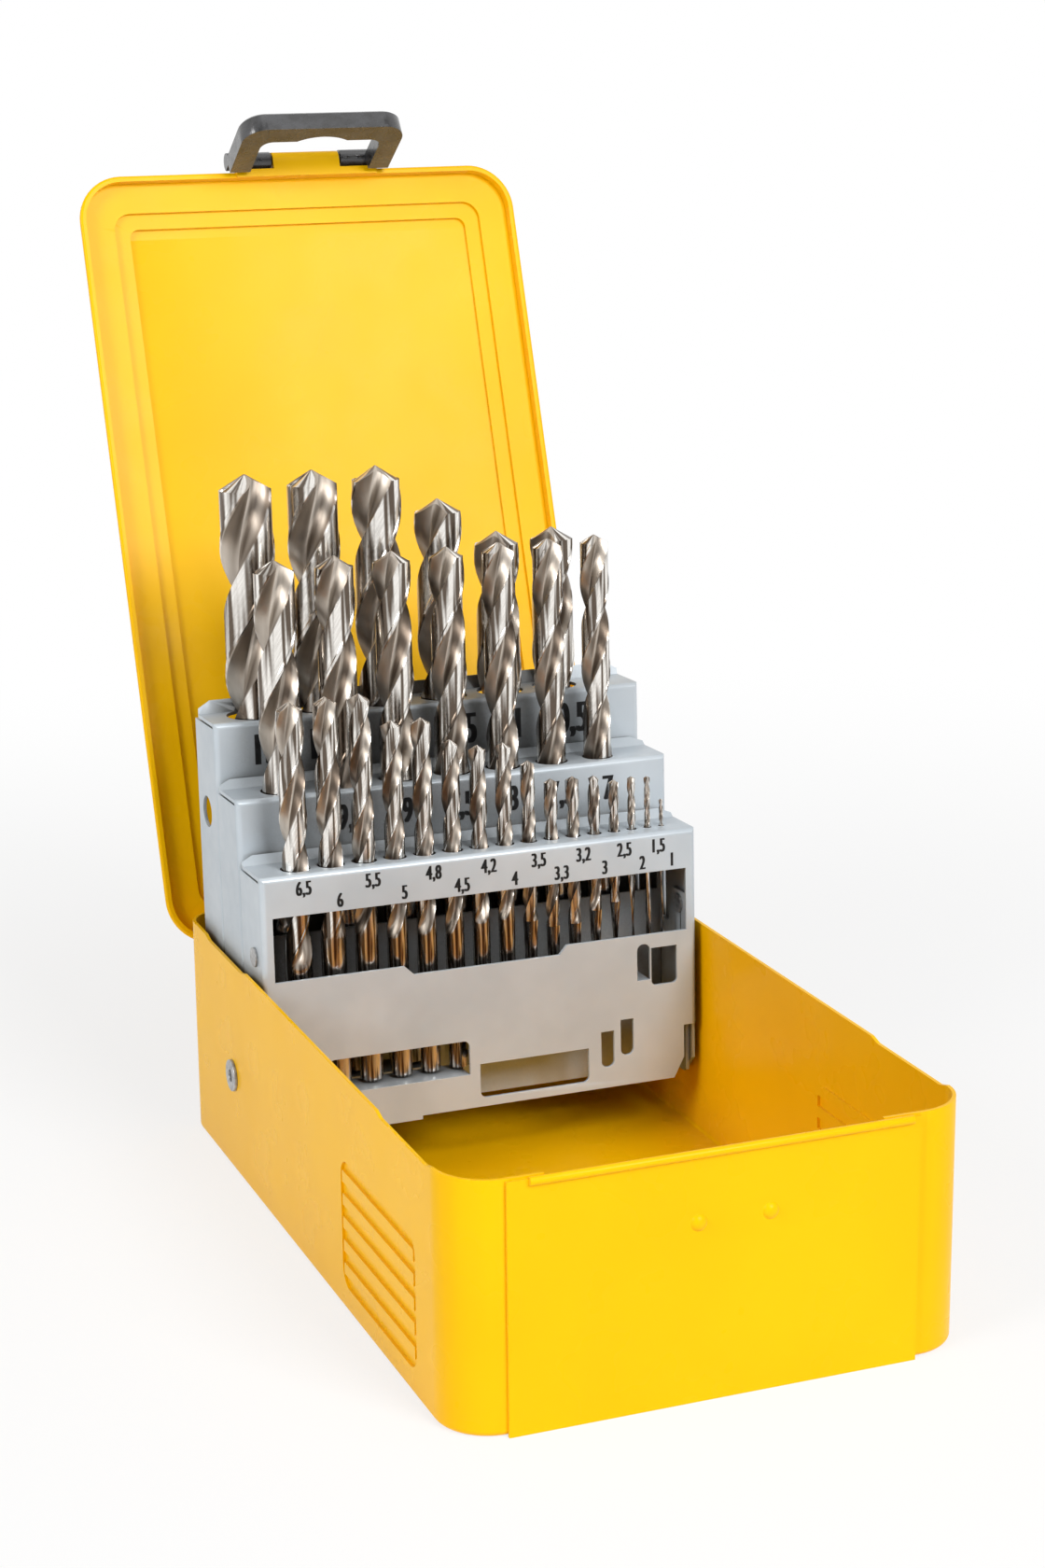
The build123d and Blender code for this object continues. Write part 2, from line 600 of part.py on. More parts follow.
def make_front_tier():
    """The lowest step: two rows of windows, and shelves at six heights for sixteen bits."""
    (left_out, left_in), (right_out, right_in) = front_dip_ends
    full, deep = front_window[1], front_window_dip
    dip = [(right_out, full), (right_in, deep), (left_in, deep), (left_out, full)]
    step = folded_tier("front", front_floor, lip_angle)
    step -= big_window("front", front_window, dip)
    seat = {bit[0]: bit[3] for bit in front_bits}
    low = under("front", 6.0, 4.5, 4.3, 0.7)
    middle = under("front", 4.2, 3.2, 3.5, 0.5)
    end = under("front", 1.5, 1.0, 2.1, 1.0)
    step = bent_shelf(step, "front", *low, seat[6.0], shelf_reach, shelf_window_radius, "top")
    step = bent_shelf(step, "front", *middle, seat[4.2], shelf_reach, shelf_window_radius, "bottom")
    step = bent_shelf(step, "front", *end, seat[1.5], end_slot_height, end_slot_radius, "bottom")
    for diameter, rounded in ((3.0, "bottom"), (2.5, "bottom"), (2.0, "top")):
        slot = under("front", diameter, diameter, slot_half, slot_half)
        step = bent_shelf(step, "front", *slot, seat[diameter], slot_height, slot_radius, rounded)
    step += shelf("front", *under("front", 6.5, 6.5, 5.9, 3.5), seat[6.5], shelf_reach)
    step -= bit_holes("front")
    step -= front_corner_cuts()
    y_front = from_back(tiers["front"]["front"])
    step -= block(edge_step_x, half_width, y_front - 1, y_front + sheet, 0, front_floor + edge_step)
    return lean * (step - rivet_bores())


def make_middle_tier():
    """The middle step: one wide window, and shelves at four heights for seven bits."""
    step = folded_tier("middle", middle_floor, lip_angle)
    step -= big_window("middle", middle_window)
    seat = {bit[0]: bit[3] for bit in middle_bits}
    for first, last, before, after, rounded in ((9.5, 9.0, 6.8, 6.5, "top"), (8.5, 8.0, 6.1, 6.2, "bottom"),
                                                (7.5, 7.0, 5.4, 6.6, "bottom")):
        stretch = under("middle", first, last, before, after)
        step = bent_shelf(step, "middle", *stretch, seat[first], shelf_reach, shelf_window_radius, rounded)
    step += shelf("middle", *under("middle", 10.0, 10.0, 8.7, 6.8), seat[10.0], shelf_reach)
    step -= bit_holes("middle")
    step -= plate_slots("middle")
    return lean * (step - rivet_bores())


def make_back_tier():
    """The tallest step: its panel is plain, and one shelf along its foot carries all six bits."""
    shelf_half = rack_half - back_shelf_inset
    step = folded_tier("back", rear_floor, back_lip_angle)
    step += shelf("back", -shelf_half, shelf_half, back_bits[0][3], back_shelf_reach)
    step -= bit_holes("back")
    step -= rod(finger_hole_radius, -half_width, half_width, from_back(finger_hole_back), finger_hole_height)
    step -= plate_slots("back")
    return lean * (step - rivet_bores())


# rivets that tie the steps to the inner side plates: distance from the rear face, height
tie_rivets = [(53.7, 57.8), (53.7, 22.0), (34.0, 47.5), (18.6, 46.0), (18.6, 20.0)]


def rivet_bores():
    """The holes for the tie rivets and for the pivots, right across the rack."""
    bores = [rod(small_rivet_radius, -half_width, half_width, from_back(back), z) for back, z in tie_rivets]
    bores.append(rod(pivot_rivet_radius + pivot_clearance, -half_width, half_width, pivot_y, pivot_height))
    return bores


def make_side_plate(side):
    """The flat plate inside the flanges that ties the three steps together and turns on the pivot."""
    outer = rack_half - sheet
    points = [(from_back(back), z) for back, z in side_plate_corners]
    plate = side_profile(points, *sorted((side * (outer - link_thickness), side * outer)))
    return lean * (plate - rivet_bores())


def make_tie_rivets():
    """All the small rivets of the rack, as separate solids in one group."""
    outer = rack_half
    inner = rack_half - sheet - link_thickness
    head = outer + small_head_thickness
    tail = inner - small_head_thickness
    rivets = []
    for side in (-1, 1):
        for back, z in tie_rivets:
            y = from_back(back)
            rivet = rod(small_rivet_radius, side * tail, side * head, y, z)
            rivet += rod(small_head_radius, side * outer, side * head, y, z)
            rivet += rod(small_head_radius, side * tail, side * inner, y, z)
            rivets.append(lean * rivet)
    return Compound(children=rivets)


# ---------------------------------------------------------------- the pivots in the base's side walls
def make_pivot_rivet(side):
    """A hollow rivet through the side wall, the rack's flange and its inner plate."""
    inner = rack_half - sheet - link_thickness - pivot_clearance
    head = half_width + pivot_head_thickness
    tail = inner - pivot_head_thickness
    rivet = rod(pivot_rivet_radius, side * tail, side * head, pivot_y, pivot_height)
    rivet += rod(pivot_head_radius, side * half_width, side * head, pivot_y, pivot_height)
    rivet += rod(pivot_tail_radius, side * tail, side * inner, pivot_y, pivot_height)
    return rivet - rod(pivot_bore_radius, side * (tail - 1), side * (head + 1), pivot_y, pivot_height)


def make_pivot_washer(side):
    """The spacer that keeps the rack off the side wall."""
    washer = rod(washer_radius, side * (rack_half + pivot_clearance), side * (half_width - sheet), pivot_y,
                 pivot_height)
    return washer - rod(pivot_rivet_radius, side * rack_half, side * half_width, pivot_y, pivot_height)


# ---------------------------------------------------------------- the bits
def flute_ring(radius, core, angle, z, scale=1.0):
    """The corners of a slice across a two-flute bit: two lands and two flute bottoms, turned on the helix."""
    corners = []
    for half_turn in (0, 180):
        for offset, reach in ((-land_half_angle, radius), (0, radius), (land_half_angle, radius), (90, core)):
            around = radians(half_turn + offset) + angle
            corners.append((reach * scale * cos(around), reach * scale * sin(around), z))
    return corners


def skin(rings):
    """A solid from rings of corners, joined by flat triangles and closed at both ends."""
    faces = [make_face(Polyline(*ring, close=True)) for ring in (rings[0], rings[-1])]
    for low, high in zip(rings, rings[1:]):
        for here in range(len(low)):
            after = (here + 1) % len(low)
            for corners in ((low[here], low[after], high[after]), (low[here], high[after], high[here])):
                faces.append(make_face(Polyline(*corners, close=True)))
    return Solid(Shell([part for face in faces for part in face.faces()]))


def twist_bit(diameter, length, flute):
    """A right-hand two-flute bit, point up, with its shank's end at the origin."""
    radius = diameter / 2
    lead = pi * diameter / tan(radians(helix_angle))
    point = radius / tan(radians(point_angle / 2))
    slices = round((flute - point) / lead * facets_per_turn)
    rings = []
    for number in range(slices + 1):
        z = length - flute + (flute - point) * number / slices
        depth = min(1.0, number / run_out_slices)
        core = radius * (1 - (1 - core_share) * depth)
        angle = 2 * pi * (z - length) / lead
        rings.append(flute_ring(radius, core, angle, z))
    rings.append(flute_ring(radius, core_share * radius, 0.0, length, chisel_share))
    shank = Cylinder(radius, length - flute, align=(Align.CENTER, Align.CENTER, Align.MIN))
    return shank + skin(rings)


def make_bit(name, diameter, length, flute, seat, x):
    """One bit, standing in its hole of the named step."""
    tier = tiers[name]
    place = Pos(x, from_back(tier["bit_row"]), tier["top"] - seat)
    return lean * place * twist_bit(diameter, length, flute)


# ---------------------------------------------------------------- write every piece
def main():
    os.makedirs("parts", exist_ok=True)
    keep("base_shell", make_base_shell())
    keep("base_front_panel", make_front_panel())
    keep("base_hinge_leaf", make_base_hinge_leaf())
    keep("hinge_pin", make_hinge_pin())
    for side, word in ((-1, "left"), (1, "right")):
        keep("pivot_rivet_" + word, make_pivot_rivet(side))
        keep("pivot_washer_" + word, make_pivot_washer(side))
        keep("rack_side_plate_" + word, make_side_plate(side))
    keep("lid_shell", make_lid_shell())
    keep("lid_hinge_leaf", make_lid_hinge_leaf())
    keep("latch", make_latch())
    keep("rack_front_tier", make_front_tier())
    keep("rack_middle_tier", make_middle_tier())
    keep("rack_back_tier", make_back_tier())
    keep("rack_rivets", make_tie_rivets())
    for row in rows:
        for diameter, length, flute, seat, x in bit_places(row):
            name = "bit_" + f"{diameter:.1f}".replace(".", "_")
            keep(name, make_bit(row, diameter, length, flute, seat, x))


main()
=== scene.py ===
# %% [markdown]
# # A drill bit case, open on the bench
# A folded sheet-steel case stands open. Its lid leans back, a three-step rack stands up out of the
# base, and twenty-nine twist drills stand in the rack by size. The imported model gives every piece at
# its real size. These cells dress it: yellow powder coat, grey lacquer, black moulded plastic,
# bright ground steel and printed sizes.

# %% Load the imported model
import bpy
import json
import math
import numpy as np
from mathutils import Matrix, Vector


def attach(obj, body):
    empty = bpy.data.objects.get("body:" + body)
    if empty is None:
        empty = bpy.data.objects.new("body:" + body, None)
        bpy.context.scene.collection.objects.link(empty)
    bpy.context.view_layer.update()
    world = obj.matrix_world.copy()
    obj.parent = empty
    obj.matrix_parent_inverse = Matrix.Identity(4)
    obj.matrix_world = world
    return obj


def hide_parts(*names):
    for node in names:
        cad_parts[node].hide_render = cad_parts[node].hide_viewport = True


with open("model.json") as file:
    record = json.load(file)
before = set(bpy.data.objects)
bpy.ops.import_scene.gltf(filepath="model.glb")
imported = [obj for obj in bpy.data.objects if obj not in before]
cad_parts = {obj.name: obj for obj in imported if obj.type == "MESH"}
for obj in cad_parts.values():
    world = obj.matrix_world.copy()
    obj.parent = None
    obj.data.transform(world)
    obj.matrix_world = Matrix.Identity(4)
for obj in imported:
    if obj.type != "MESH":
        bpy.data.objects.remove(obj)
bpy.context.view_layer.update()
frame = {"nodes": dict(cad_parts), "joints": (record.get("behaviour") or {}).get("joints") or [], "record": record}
nodes = frame["nodes"]
joints = {joint["name"]: joint for joint in frame["joints"]}
print("pieces in the model:", len(nodes))

# %% [markdown]
# ## The camera
# The picture was taken from a little to the left and above, with a long lens. The camera's place was
# found by fitting corners, holes and drill tips, so it is set by numbers, in millimetres and degrees.
# A Track To constraint could aim a camera too, but it always holds the picture level, and this one
# leans by half a degree.

# %% Camera
MM = 0.001
camera_place = Vector((-234.12, -586.21, 271.97)) * MM
camera_yaw = math.radians(21.394)       # turned from looking along +Y towards +X
camera_pitch = math.radians(14.887)     # looking down
camera_roll = math.radians(-0.593)
lens_mm = 68.05
sensor_mm = 36.0                        # the long side of the picture

forward = Vector((math.sin(camera_yaw) * math.cos(camera_pitch),
                  math.cos(camera_yaw) * math.cos(camera_pitch),
                  -math.sin(camera_pitch)))
camera_data = bpy.data.cameras.new("bench_camera")
camera_data.lens = lens_mm
camera_data.sensor_width = sensor_mm
camera = bpy.data.objects.new("bench_camera", camera_data)
bpy.context.scene.collection.objects.link(camera)
camera.location = camera_place
level = forward.to_track_quat("-Z", "Y").to_matrix()
roll = Matrix.Rotation(camera_roll, 3, "Z")
camera.rotation_euler = (level @ roll).to_euler()
bpy.context.scene.camera = camera
print("camera looks along", [round(v, 3) for v in forward])

# %% [markdown]
# ## Bench top, lamps and room
# The case stands on a white bench top. A small plane would show its edge in the picture, and a curved
# sweep would only hide it from one side. So the bench top is a wide disc whose paint fades, well away
# from the case, into plain white light: near the case it still takes the case's shadow, and far out it
# can't be told from the white room, whichever side it is seen from.

# %% Bench top
bench_radii = (0.5, 1.0, 2.0, 5.0, 12.0)        # metres
bench_sides = 64


def mesh_object(name, points, faces, smooth=True):
    """A new object from points in metres and faces that name them by number."""
    mesh = bpy.data.meshes.new(name)
    mesh.from_pydata([tuple(p) for p in points], [], faces)
    mesh.update()
    if smooth:
        mesh.shade_smooth()
    made = bpy.data.objects.new(name, mesh)
    bpy.context.scene.collection.objects.link(made)
    return made


def disc_rings(radii, around):
    """Points and faces of a flat disc: one centre point and rings that grow outwards."""
    points = [(0.0, 0.0, 0.0)]
    for radius in radii:
        for k in range(around):
            turn = 2.0 * math.pi * k / around
            points.append((radius * math.cos(turn), radius * math.sin(turn), 0.0))
    faces = [(0, 1 + k, 1 + (k + 1) % around) for k in range(around)]
    for ring_number in range(len(radii) - 1):
        inner = 1 + ring_number * around
        outer = inner + around
        for k in range(around):
            j = (k + 1) % around
            faces.append((inner + k, outer + k, outer + j, inner + j))
    return points, faces


bench_top = mesh_object("bench_top", *disc_rings(bench_radii, bench_sides), smooth=False)
print("bench top faces:", len(bench_top.data.polygons))

# %% [markdown]
# The light is plain and soft: a large lamp in front, a smaller one on the left so that the left wall
# is a little darker than the front, and a weak one above. Point lamps or a sun would draw hard
# shadows. Each lamp is an area lamp, because its size is what makes a soft edge and a broad highlight.

# %% Lamps
aim_point = (0.0, 0.02, 0.09)
lamps = {                               # place and width in metres, power in watts
    "front_lamp": ((0.35, -1.15, 0.95), 0.6, 15.5),
    "left_lamp": ((-1.15, -0.42, 0.75), 0.5, 8.0),
    "top_lamp": ((0.1, -0.15, 1.4), 0.8, 1.2),
}


def soft_lamp(name, place, aim, size, watts):
    """A square area lamp at a place, aimed at a point."""
    data = bpy.data.lights.new(name, "AREA")
    data.size = size
    data.energy = watts
    lamp = bpy.data.objects.new(name, data)
    bpy.context.scene.collection.objects.link(lamp)
    lamp.location = place
    lamp.rotation_euler = (Vector(aim) - Vector(place)).to_track_quat("-Z", "Y").to_euler()


for name, (place, size, watts) in lamps.items():
    soft_lamp(name, place, aim_point, size, watts)

# %% [markdown]
# The room is white. One strength for everything would either turn the background grey or drown the
# lamps, so the kind of ray chooses: what the camera, a mirror or glass sees is one thing, and what
# lights a matt surface is another. A few small helpers build such choices out of nodes, for the room
# here and for the bench top's paint further down.

# %% Which rays see what


def larger(tree, first, second):
    """The larger of two values."""
    node = tree.nodes.new("ShaderNodeMath")
    node.operation = "MAXIMUM"
    tree.links.new(first, node.inputs[0])
    tree.links.new(second, node.inputs[1])
    return node.outputs["Value"]


def seen_by_eye_and_metal(tree):
    """One for rays from the camera, from mirrors and through glass, and nothing for the rest."""
    ray = tree.nodes.new("ShaderNodeLightPath").outputs
    either = larger(tree, ray["Is Camera Ray"], ray["Is Glossy Ray"])
    return larger(tree, either, ray["Is Transmission Ray"])


def eased(tree, value, start, end, lowest):
    """Ease from the lowest value to 1 while the input goes from start to end."""
    node = tree.nodes.new("ShaderNodeMapRange")
    node.interpolation_type = "SMOOTHSTEP"
    node.inputs["From Min"].default_value = start
    node.inputs["From Max"].default_value = end
    node.inputs["To Min"].default_value = lowest
    tree.links.new(value, node.inputs["Value"])
    return node.outputs["Result"]


def choose(tree, amount, first, second, out):
    """Send a mix of two shaders to the output."""
    mix = tree.nodes.new("ShaderNodeMixShader")
    tree.links.new(amount, mix.inputs["Fac"])
    tree.links.new(first, mix.inputs[1])
    tree.links.new(second, mix.inputs[2])
    tree.links.new(mix.outputs["Shader"], out.inputs["Surface"])


print("ray helpers:", [made.__name__ for made in (larger, seen_by_eye_and_metal, eased, choose)])

# %% [markdown]
# Matt surfaces are lit by a third of full white, so that the lamps shape the case. The camera sees
# full white. Steel and paint mirror full white too, except from behind the viewer, where the room is
# darker, as a real studio is: without that the drills would look like white plastic. Walls and a
# ceiling could be built, but a world is never in the way of a camera on the other side.

# %% White room
room_lights = 0.32                      # strength on matt surfaces
room_behind = 0.45                      # strength that is mirrored from behind the viewer
darkest_y, full_y = -0.75, -0.1         # directions between which the mirrored room brightens

world = bpy.data.worlds.new("white_room")
bpy.context.scene.world = world
world.use_nodes = True
room = world.node_tree
room.nodes.clear()
room_out = room.nodes.new("ShaderNodeOutputWorld")
room_light = room.nodes.new("ShaderNodeBackground")
room_light.inputs["Color"].default_value = (1.0, 1.0, 1.0, 1.0)
room_light.inputs["Strength"].default_value = room_lights
room_seen = room.nodes.new("ShaderNodeBackground")
room_seen.inputs["Color"].default_value = (1.0, 1.0, 1.0, 1.0)
direction = room.nodes.new("ShaderNodeTexCoord")
towards = room.nodes.new("ShaderNodeSeparateXYZ")
room.links.new(direction.outputs["Generated"], towards.inputs["Vector"])
in_mirrors = eased(room, towards.outputs["Y"], darkest_y, full_y, room_behind)
eye = room.nodes.new("ShaderNodeLightPath")
seen_strength = larger(room, eye.outputs["Is Camera Ray"], in_mirrors)
room.links.new(seen_strength, room_seen.inputs["Strength"])
choose(room, seen_by_eye_and_metal(room), room_light.outputs["Background"],
       room_seen.outputs["Background"], room_out)
bpy.context.scene.view_settings.view_transform = "Standard"
print("room nodes:", len(room.nodes))

# %% [markdown]
# ## Finishes
# Each finish is one node material: a Principled shader whose colour, roughness and bump come from
# noise in the piece's own coordinates, in millimetres. Painted textures would need unwrapping, and
# would blur close up. Noise needs no unwrapping and holds its grain at any distance. One helper
# starts a material, one makes grain, and one fits a value into a range.

# %% Start a finish


def new_finish(name, roughness, metallic=0.0, coat=0.0, specular=0.5):
    """A Principled material with its steady values set on the shader itself."""
    material = bpy.data.materials.new(name)
    material.use_nodes = True
    tree = material.node_tree
    shader = tree.nodes["Principled BSDF"]
    shader.inputs["Roughness"].default_value = roughness
    shader.inputs["Metallic"].default_value = metallic
    shader.inputs["Coat Weight"].default_value = coat
    shader.inputs["Coat Roughness"].default_value = 0.1
    shader.inputs["Specular IOR Level"].default_value = specular
    return material, tree, shader


def grain(tree, per_mm, detail):
    """Noise with so many grains to the millimetre."""
    place = tree.nodes.new("ShaderNodeTexCoord")
    scale = tree.nodes.new("ShaderNodeMapping")
    noise = tree.nodes.new("ShaderNodeTexNoise")
    scale.inputs["Scale"].default_value = [per_mm / MM] * 3
    noise.inputs["Scale"].default_value = 1.0
    noise.inputs["Detail"].default_value = detail
    tree.links.new(place.outputs["Object"], scale.inputs["Vector"])
    tree.links.new(scale.outputs["Vector"], noise.inputs["Vector"])
    return noise.outputs["Fac"]


def spread(tree, value, low, high, start=0.3, end=0.7):
    """Map the part of a value between start and end to the range from low to high."""
    node = tree.nodes.new("ShaderNodeMapRange")
    node.inputs["From Min"].default_value = start
    node.inputs["From Max"].default_value = end
    node.inputs["To Min"].default_value = low
    node.inputs["To Max"].default_value = high
    tree.links.new(value, node.inputs["Value"])
    return node.outputs["Result"]


print("finish helpers:", [made.__name__ for made in (new_finish, grain, spread)])

# %% [markdown]
# Nothing on the real case is one flat colour: paint pools, plating clouds and hands rub. So colour and
# roughness each drift between two values with some grain, and a bump of a real depth catches the
# light. A displaced mesh would do the same as the bump, but only with very many more faces.

# %% Drift and bump


def colour_mix(tree, amount, first, second):
    """Mix two colours, each a triple or another node's output, by an amount from 0 to 1."""
    node = tree.nodes.new("ShaderNodeMix")
    node.data_type = "RGBA"
    for socket, colour in (("A", first), ("B", second)):
        if isinstance(colour, tuple):
            node.inputs[socket].default_value = (*colour, 1.0)
        else:
            tree.links.new(colour, node.inputs[socket])
    tree.links.new(amount, node.inputs["Factor"])
    return node.outputs["Result"]


def drifting_colour(tree, first, second, per_mm, detail, start=0.3, end=0.7):
    """A colour that drifts between two with the grain."""
    amount = spread(tree, grain(tree, per_mm, detail), 0.0, 1.0, start, end)
    return colour_mix(tree, amount, first, second)


def drifting_roughness(tree, shader, smoothest, roughest, per_mm, detail):
    """Let the shader's roughness drift between two values with the grain."""
    value = spread(tree, grain(tree, per_mm, detail), smoothest, roughest)
    tree.links.new(value, shader.inputs["Roughness"])


def add_bump(tree, shader, height, depth_mm, strength):
    """Bump of a real depth on the shader's normal."""
    node = tree.nodes.new("ShaderNodeBump")
    node.inputs["Strength"].default_value = strength
    node.inputs["Distance"].default_value = depth_mm * MM
    tree.links.new(height, node.inputs["Height"])
    tree.links.new(node.outputs["Normal"], shader.inputs["Normal"])


drift_helpers = (colour_mix, drifting_colour, drifting_roughness, add_bump)
print("drift helpers:", [made.__name__ for made in drift_helpers])

# %% [markdown]
# The bench top's paint is matt white near the case and white light further out. A hard border between
# the two would show as a line, so the change is spread over nearly half a metre.

# %% Bench paint
fade_from = 0.15        # metres from the case's middle
fade_to = 0.6
near_white = 0.75       # share of plain white beside the case, where the shadow still shows

bench_paint, tree, shader = new_finish("white_bench_paint", roughness=0.8, specular=0.1)
white = drifting_colour(tree, (0.87, 0.87, 0.87), (0.9, 0.9, 0.9), per_mm=0.003, detail=2.0)
tree.links.new(white, shader.inputs["Base Color"])
bench_glow = tree.nodes.new("ShaderNodeEmission")
bench_glow.inputs["Strength"].default_value = 1.0
bench_place = tree.nodes.new("ShaderNodeTexCoord")
distance = tree.nodes.new("ShaderNodeVectorMath")
distance.operation = "LENGTH"
tree.links.new(bench_place.outputs["Object"], distance.inputs[0])
seen_far = tree.nodes.new("ShaderNodeMath")
seen_far.operation = "MULTIPLY"
tree.links.new(eased(tree, distance.outputs["Value"], fade_from, fade_to, near_white), seen_far.inputs[0])
tree.links.new(seen_by_eye_and_metal(tree), seen_far.inputs[1])
choose(tree, seen_far.outputs["Value"], shader.outputs["BSDF"], bench_glow.outputs["Emission"],
       tree.nodes["Material Output"])
bench_top.data.materials.append(bench_paint)
print("finish:", bench_paint.name)

# %% [markdown]
# Powder coat is melted on, so it is thick, glossy and never quite flat: it has the faint dimples of
# orange peel, some millimetres across, and it pools a touch deeper in some places. So the colour
# drifts slowly, the roughness drifts by a hair, and a very shallow bump makes the dimples. A stronger
# change of roughness looked like hammered sheet wherever a wall is seen at a flat angle.
# Steel that mirrors the yellow shows it paler here than it would by itself, because in the picture
# the drills stay grey beside the paint.

# %% Yellow powder coat
yellow_coat, tree, shader = new_finish("yellow_powder_coat", roughness=0.3, specular=0.1)
yellow = drifting_colour(tree, (0.93, 0.505, 0.0005), (0.97, 0.54, 0.0008), per_mm=0.03, detail=2.0)
in_steel = tree.nodes.new("ShaderNodeLightPath").outputs["Is Glossy Ray"]
paler = spread(tree, in_steel, low=0.0, high=0.55, start=0.0, end=1.0)
tree.links.new(colour_mix(tree, paler, yellow, (0.50, 0.42, 0.33)), shader.inputs["Base Color"])
drifting_roughness(tree, shader, 0.26, 0.31, per_mm=0.08, detail=2.0)
add_bump(tree, shader, grain(tree, per_mm=0.15, detail=1.0), depth_mm=0.004, strength=0.2)
print("finish:", yellow_coat.name)

# %% [markdown]
# The rack is sprayed with a thin light-grey lacquer. It is more matt than the case, and its grain is
# finer. Rubbed places catch a little more light, so the roughness varies over a few millimetres.
# Faces deep inside the folded steps and behind the slots get painted shade: an occlusion value finds
# faces with a neighbour close by and darkens their colour towards near black. A second, dark finish
# on those faces would need them picked by hand.

# %% Grey rack lacquer
painted_shade_reach_mm = 30.0      # how far off a neighbour still hides a face
grey_lacquer, tree, shader = new_finish("grey_rack_lacquer", roughness=0.38, metallic=0.2)
grey = drifting_colour(tree, (0.47, 0.525, 0.57), (0.55, 0.60, 0.64), per_mm=0.05, detail=3.0)
painted_shade_occlusion = tree.nodes.new("ShaderNodeAmbientOcclusion")
painted_shade_occlusion.samples = 8
painted_shade_occlusion.inputs["Distance"].default_value = painted_shade_reach_mm * MM
# Painted shade: where the occlusion value is low, the lacquer's colour is mixed towards near black.
outside_painted_shade = spread(tree, painted_shade_occlusion.outputs["AO"], low=0.0, high=1.0, start=0.05, end=0.5)
tree.links.new(colour_mix(tree, outside_painted_shade, (0.06, 0.05, 0.04), grey), shader.inputs["Base Color"])
drifting_roughness(tree, shader, 0.3, 0.46, per_mm=0.25, detail=4.0)
add_bump(tree, shader, grain(tree, per_mm=3.0, detail=3.0), depth_mm=0.008, strength=0.4)
print("finish:", grey_lacquer.name)

# %% [markdown]
# The latch is moulded in black plastic with a fine spark-eroded grain, so its highlights are broad and
# speckled. The grain is too fine to model, so a strong fine bump and a middling roughness give it, and
# a half-strength clear coat adds the small bright glints.

# %% Black moulded plastic
black_plastic, tree, shader = new_finish("black_moulded_plastic", roughness=0.3, coat=0.5, specular=0.7)
black = drifting_colour(tree, (0.012, 0.0115, 0.012), (0.034, 0.0345, 0.038),
                        per_mm=0.25, detail=3.0, start=0.4, end=0.62)
tree.links.new(black, shader.inputs["Base Color"])
drifting_roughness(tree, shader, 0.18, 0.38, per_mm=0.5, detail=4.0)
add_bump(tree, shader, grain(tree, per_mm=1.2, detail=4.0), depth_mm=0.05, strength=0.8)
print("finish:", black_plastic.name)

# %% [markdown]
# Rivets, washers and the hinge pin are zinc plated: a soft grey metal with a cloudy spangle. One flat
# grey would look like paint, so both the colour and the roughness drift, about a millimetre at a time.

# %% Zinc plate
zinc_plate, tree, shader = new_finish("zinc_plate", roughness=0.38, metallic=1.0)
zinc = drifting_colour(tree, (0.30, 0.30, 0.30), (0.55, 0.55, 0.54), per_mm=0.8, detail=3.0)
tree.links.new(zinc, shader.inputs["Base Color"])
drifting_roughness(tree, shader, 0.3, 0.5, per_mm=1.5, detail=3.0)
add_bump(tree, shader, grain(tree, per_mm=2.0, detail=3.0), depth_mm=0.01, strength=0.3)
print("finish:", zinc_plate.name)

# %% [markdown]
# ## Ground steel
# A ground drill is bright high-speed steel with a warm tone. Its lands were ground round and its
# flutes along the twist. The upright bands of light and dark on the lands and the sheen that runs with
# the spiral of the flutes are painted reflections, painted into the colour. Plain noise in millimetres
# would give a 1 mm drill and a 13 mm drill the same coarse cloud. So each drill carries two sets of
# coordinates of its own, worked out with its points: one goes straight up the land and one follows
# the flute, and both are counted in diameters. A third value says how far a point is inside a flute,
# and it blends the two.

# %% Read what a drill carries


def stored(tree, name):
    """A value that the drill's own points carry."""
    node = tree.nodes.new("ShaderNodeAttribute")
    node.attribute_name = name
    return node


def streaks(tree, coordinates, scale, detail):
    """Noise along a stored set of coordinates."""
    noise = tree.nodes.new("ShaderNodeTexNoise")
    noise.inputs["Scale"].default_value = scale
    noise.inputs["Detail"].default_value = detail
    tree.links.new(coordinates, noise.inputs["Vector"])
    return noise.outputs["Fac"]


print("steel helpers:", [made.__name__ for made in (stored, streaks)])

# %% [markdown]
# The lands' colour swings from dark to nearly white in upright bands: painted reflections of the room
# and of the drill beside it, as polished steel would mirror them. The flutes are painted darker, with
# a painted sheen along the spiral, and they are more satin, because grinding marks stay in them, and
# fine lines run along both. Mirror-bright steel alone would copy the white room and lose its shape.

# %% Ground steel
flute_satin = 0.2       # how much rougher a flute is than a land

ground_steel, tree, shader = new_finish("bright_ground_steel", roughness=0.24, metallic=1.0)
up_the_land = stored(tree, "land_place").outputs["Vector"]
along_the_flute = stored(tree, "flute_place").outputs["Vector"]
inside = stored(tree, "in_flute").outputs["Fac"]
